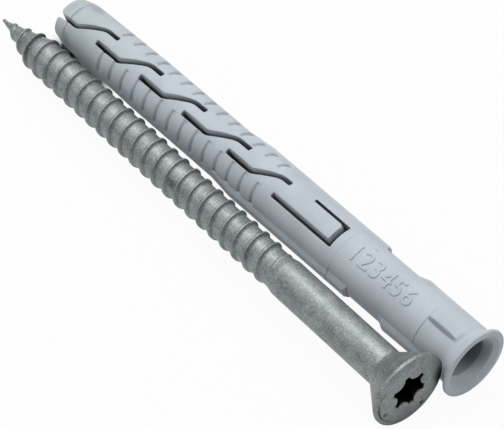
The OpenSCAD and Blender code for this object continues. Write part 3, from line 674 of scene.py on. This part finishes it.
def moulded_nylon():
    """Polyamide 6, injection moulded: light blue-grey, matt with a faint satin, its edges softly rounded."""
    material = bpy.data.materials.new("moulded_nylon")
    tree = empty_tree(material)
    place = add(tree, "TexCoord")
    # the mould's spark-eroded skin is too fine to show, so it is drawn as coarse as it needs to show
    grain = add(tree, "TexNoise", Vector=(place, "Object"), Scale=NYLON_GRAIN, Detail=3.0)
    # the slow clouds of the melt
    cloud = add(tree, "TexNoise", Vector=(place, "Object"), Scale=NYLON_CLOUD, Detail=5.0, Roughness=0.6)
    colour = add(tree, "ValToRGB", stops=((0.3, "#a4acb3"), (0.7, "#b0b8bf")), _0=(cloud, 0))
    # painted shade in the slots, where little light gets in: darker where the sleeve's own surfaces lie
    # within 5 mm
    nook = add(tree, "AmbientOcclusion", OWN_NOOKS, Distance=5 * MM)
    deep = add(tree, "MapRange", _0=(nook, "AO"), _1=0.04, _2=0.46, _3=0.05, _4=1.0)
    # and a little painted shade at the foot of barbs, figures and the pad
    crease = add(tree, "AmbientOcclusion", OWN_NOOKS, Distance=0.6 * MM)
    foot = add(tree, "MapRange", _0=(crease, "AO"), _1=0.45, _2=0.85, _3=0.6, _4=1.0)
    both = add(tree, "Math", TIMES, _0=(deep, 0), _1=(foot, 0))
    tinted = add(tree, "Mix", TINT, _0=1.0, _6=(colour, 0), _7=(both, 0))
    # the sleeve is a little greyer towards the tip
    own, spot = place_on(tree, SLEEVE_LIES, BODY_R)
    parts = add(tree, "SeparateXYZ", _0=(spot, 0))
    at_tip = add(tree, "MapRange", _0=(parts, 0), _1=80.0, _2=96.0, _3=0.0, _4=1.0)
    tinted = add(tree, "Mix", TINT, _0=(at_tip, 0), _6=(tinted, 2), _7=tone("#f6f8f3"))
    # dirt in the seams at collar and body, a smudge on the strip, darker bands and patches near the tip, and
    # painted shade under the pad's edge
    uneven = add(tree, "MapRange", _0=(cloud, 0), _1=0.3, _2=0.7, _3=-0.35, _4=0.35)
    marks_and_shade = darken(tree, (tinted, 2), (spot, 0), NYLON_MARKS, (uneven, 0))
    marks_and_shade = darken(tree, marks_and_shade, (spot, 0), PAD_SHADE, full=0.75)
    # less light reaches the mouth's inside, up to 5 mm from the axis
    across = add(tree, "VectorMath", TIMES, _0=(own, 0), _1=(0.0, 1.0, 1.0))
    from_axis = add(tree, "VectorMath", {"operation": "LENGTH"}, _0=(across, 0))
    outside = add(tree, "MapRange", _0=(from_axis, 1), _1=4.7 * MM, _2=5 * MM, _3=0.0, _4=1.0)
    marks_and_shade = darken(tree, marks_and_shade, (own, 0), BORE_SHADE, (outside, 0), full=0.3)
    soft = add(tree, "Bevel", {"samples": 4}, Radius=0.28 * MM)
    bump = add(tree, "Bump", Strength=0.4, Distance=0.02 * MM, Height=(grain, 0), Normal=(soft, 0))
    shader = add(tree, "BsdfPrincipled", Base_Color=marks_and_shade, Roughness=0.65, IOR=1.53, Normal=(bump, 0))
    add(tree, "OutputMaterial", Surface=(shader, 0))
    return material


def galvanised_zinc():
    """Zinc, galvanised on steel: dull grey, mottled in fine specks and wider patches, with painted shade in
    the thread's roots, in the socket and beside the sleeve."""
    material = bpy.data.materials.new("galvanised_zinc")
    tree = empty_tree(material)
    place = add(tree, "TexCoord")
    mottle = add(tree, "TexNoise", Vector=(place, "Object"), Scale=ZINC_SPECK, Detail=4.0, Roughness=0.7)
    patch = add(tree, "TexNoise", Vector=(place, "Object"), Scale=ZINC_PATCH, Detail=4.0, Roughness=0.6)
    both = add(tree, "Math", {"operation": "MULTIPLY_ADD"}, _0=(patch, 0), _1=0.45, _2=(mottle, 0))
    greys = ((0.55, "#6a7171"), (0.725, "#848a8a"), (0.9, "#9da3a3"))
    colour = add(tree, "ValToRGB", stops=greys, _0=(both, 0))
    # painted shade in the thread's roots and the socket, where the screw's own surfaces lie close
    nook = add(tree, "AmbientOcclusion", OWN_NOOKS, Distance=0.7 * MM)
    deep = add(tree, "MapRange", _0=(nook, "AO"), _1=0.5, _2=0.86, _3=0.35, _4=1.0)
    pit = add(tree, "AmbientOcclusion", OWN_NOOKS, Distance=5 * MM)
    dark = add(tree, "MapRange", _0=(pit, "AO"), _1=0.3, _2=0.72, _3=0.13, _4=1.0)
    shadow = add(tree, "Math", TIMES, _0=(deep, 0), _1=(dark, 0))
    tinted = add(tree, "Mix", TINT, _0=1.0, _6=(colour, 0), _7=(shadow, 0))
    own, spot = place_on(tree, SCREW_LIES, SHANK_R)
    # where the head comes near the sleeve's flare little light gets between them
    parts = add(tree, "SeparateXYZ", _0=(spot, 0))
    at_head = add(tree, "MapRange", _0=(parts, 0), _1=3.0, _2=6.5, _3=1.0, _4=0.0)
    gap = add(tree, "AmbientOcclusion", {"samples": 8}, Distance=8 * MM)
    shut = add(tree, "MapRange", _0=(gap, "AO"), _1=0.42, _2=0.85, _3=0.06, _4=0.88)
    tinted = add(tree, "Mix", TINT, _0=(at_head, 0), _6=(tinted, 2), _7=(shut, 0))
    # the head's narrow edge, within 0.38 mm of the depth of 0.45 mm, is painted brighter: partly rubbed wear,
    # partly a painted highlight
    edge_wear_and_highlight = add(tree, "Math", {"operation": "COMPARE"}, _0=(parts, 0), _1=0.45, _2=0.38)
    tinted = add(tree, "Mix", TINT, _0=(edge_wear_and_highlight, 0), _6=(tinted, 2), _7=(1.12, 1.12, 1.12, 1.0))
    marked = darken(tree, (tinted, 2), (own, 0), HEAD_MARKS)
    uneven = add(tree, "MapRange", _0=(patch, 0), _1=0.3, _2=0.7, _3=-0.4, _4=0.4)
    marked = darken(tree, marked, (spot, 0), THREAD_DIRT, (uneven, 0))
    rough = add(tree, "MapRange", _0=(mottle, 0), _1=0.3, _2=0.7, _3=0.39, _4=0.53)
    bump = add(tree, "Bump", Strength=0.6, Distance=0.04 * MM, Height=(mottle, 0))
    shader = add(tree, "BsdfPrincipled", Base_Color=marked, Metallic=0.9, Roughness=(rough, 0),
                 Normal=(bump, 0))
    add(tree, "OutputMaterial", Surface=(shader, 0))
    return material


def seen_directly(tree):
    """1 for camera, glossy and transmission rays, 0 for the light that the scene passes on."""
    path = add(tree, "LightPath")
    seen = add(tree, "Math", LARGER, _0=(path, "Is Camera Ray"), _1=(path, "Is Glossy Ray"))
    return add(tree, "Math", LARGER, _0=(seen, 0), _1=(path, "Is Transmission Ray"))


def pale_floor():
    """White sweep: most of what the camera sees of it is plain white, the rest keeps the soft shadow."""
    material = bpy.data.materials.new("pale_floor")
    tree = empty_tree(material)
    # the shadow is deepest where the sleeve's tip and the thread lie close over the floor
    place = add(tree, "TexCoord")
    shut = add(tree, "AmbientOcclusion", {"samples": 16}, Distance=8 * MM)
    lit = add(tree, "MapRange", _0=(shut, "AO"), _1=0.46, _2=0.68, _3=0.0, _4=1.0)
    pool = darken(tree, WHITE, (place, "Object"), SHADOW_POOL, full=0.5)
    pool = add(tree, "Math", LARGER, _0=pool, _1=(lit, 0))
    grey = add(tree, "Mix", {"data_type": "RGBA"}, _0=(pool, 0), _6=tone("#101212"), _7=tone("#c8c9c9"))
    most = add(tree, "Math", TIMES, _0=(pool, 0), _1=0.95)
    share = add(tree, "Math", TIMES, _0=(seen_directly(tree), 0), _1=(most, 0))
    plain = add(tree, "BsdfDiffuse", Color=(grey, 2))
    white = add(tree, "Emission", Color=WHITE, Strength=1.0)
    both = add(tree, "MixShader", _0=(share, 0), _1=(plain, 0), _2=(white, 0))
    add(tree, "OutputMaterial", Surface=(both, 0))
    return material


# the stage
# half the floor's width in metres, and the direction in which the air is brightest
FLOOR_HALF, BRIGHT_WAY = 20, (-0.15, 0.72, 0.62)
# the lamps: name, place and size in metres, power in watts. Both face straight down, so that the shank
# carries their reflection along its length
LAMPS = (("tent_top", (-0.40, -0.80, 0.72), (1.0, 3.02), 8.8),
         ("strip", (-0.40, 0.085, 0.75), (0.7, 0.04), 1.75))


def studio():
    """Floor, air and lamps. The air's light grows with the cosine to its brightest direction, above and
    behind. It is darker before the mouth and the head."""
    h = FLOOR_HALF
    floor = bpy.data.meshes.new("floor")
    floor.from_pydata([(-h, -h, 0), (h, -h, 0), (h, h, 0), (-h, h, 0)], [], [(0, 1, 2, 3)])
    floor.materials.append(pale_floor())
    floor_object = in_scene("floor", floor)
    world = bpy.data.worlds.new("studio_air")
    tree = empty_tree(world)
    place = add(tree, "TexCoord")
    toward = add(tree, "VectorMath", {"operation": "DOT_PRODUCT"}, _0=(place, "Generated"), _1=BRIGHT_WAY)
    level = add(tree, "MapRange", _0=(toward, 1), _1=-0.7, _2=0.9, _3=0.41, _4=0.85)
    air = add(tree, "Background", Color=WHITE, Strength=(level, 0))
    add(tree, "OutputWorld", Surface=(air, 0))
    bpy.context.scene.world = world
    for name, place, size, power in LAMPS:
        light = bpy.data.lights.new(name, "AREA")
        light.shape, light.size, light.size_y, light.energy = "RECTANGLE", *size, power
        in_scene(name, light).location = place


photo_camera()
studio()
nylon, zinc = moulded_nylon(), galvanised_zinc()
sleeve = solid("moulded_sleeve", [sleeve_skin()], SLEEVE_LIES, nylon, SLEEVE_SHARP)
cut_slots(sleeve, SLEEVE_LIES)
screw = solid("galvanised_screw", [head_and_shank(), thread()], SCREW_LIES, zinc, SCREW_SHARP)
figures = size_figures(nylon)
for piece, node in ((sleeve, "anchor_sleeve"), (screw, "countersunk_screw")):
    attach(piece, "root")
    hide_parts(node)
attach(figures, "root")

bpy.context.scene.view_settings.view_transform = "Standard"
bpy.context.view_layer.update()
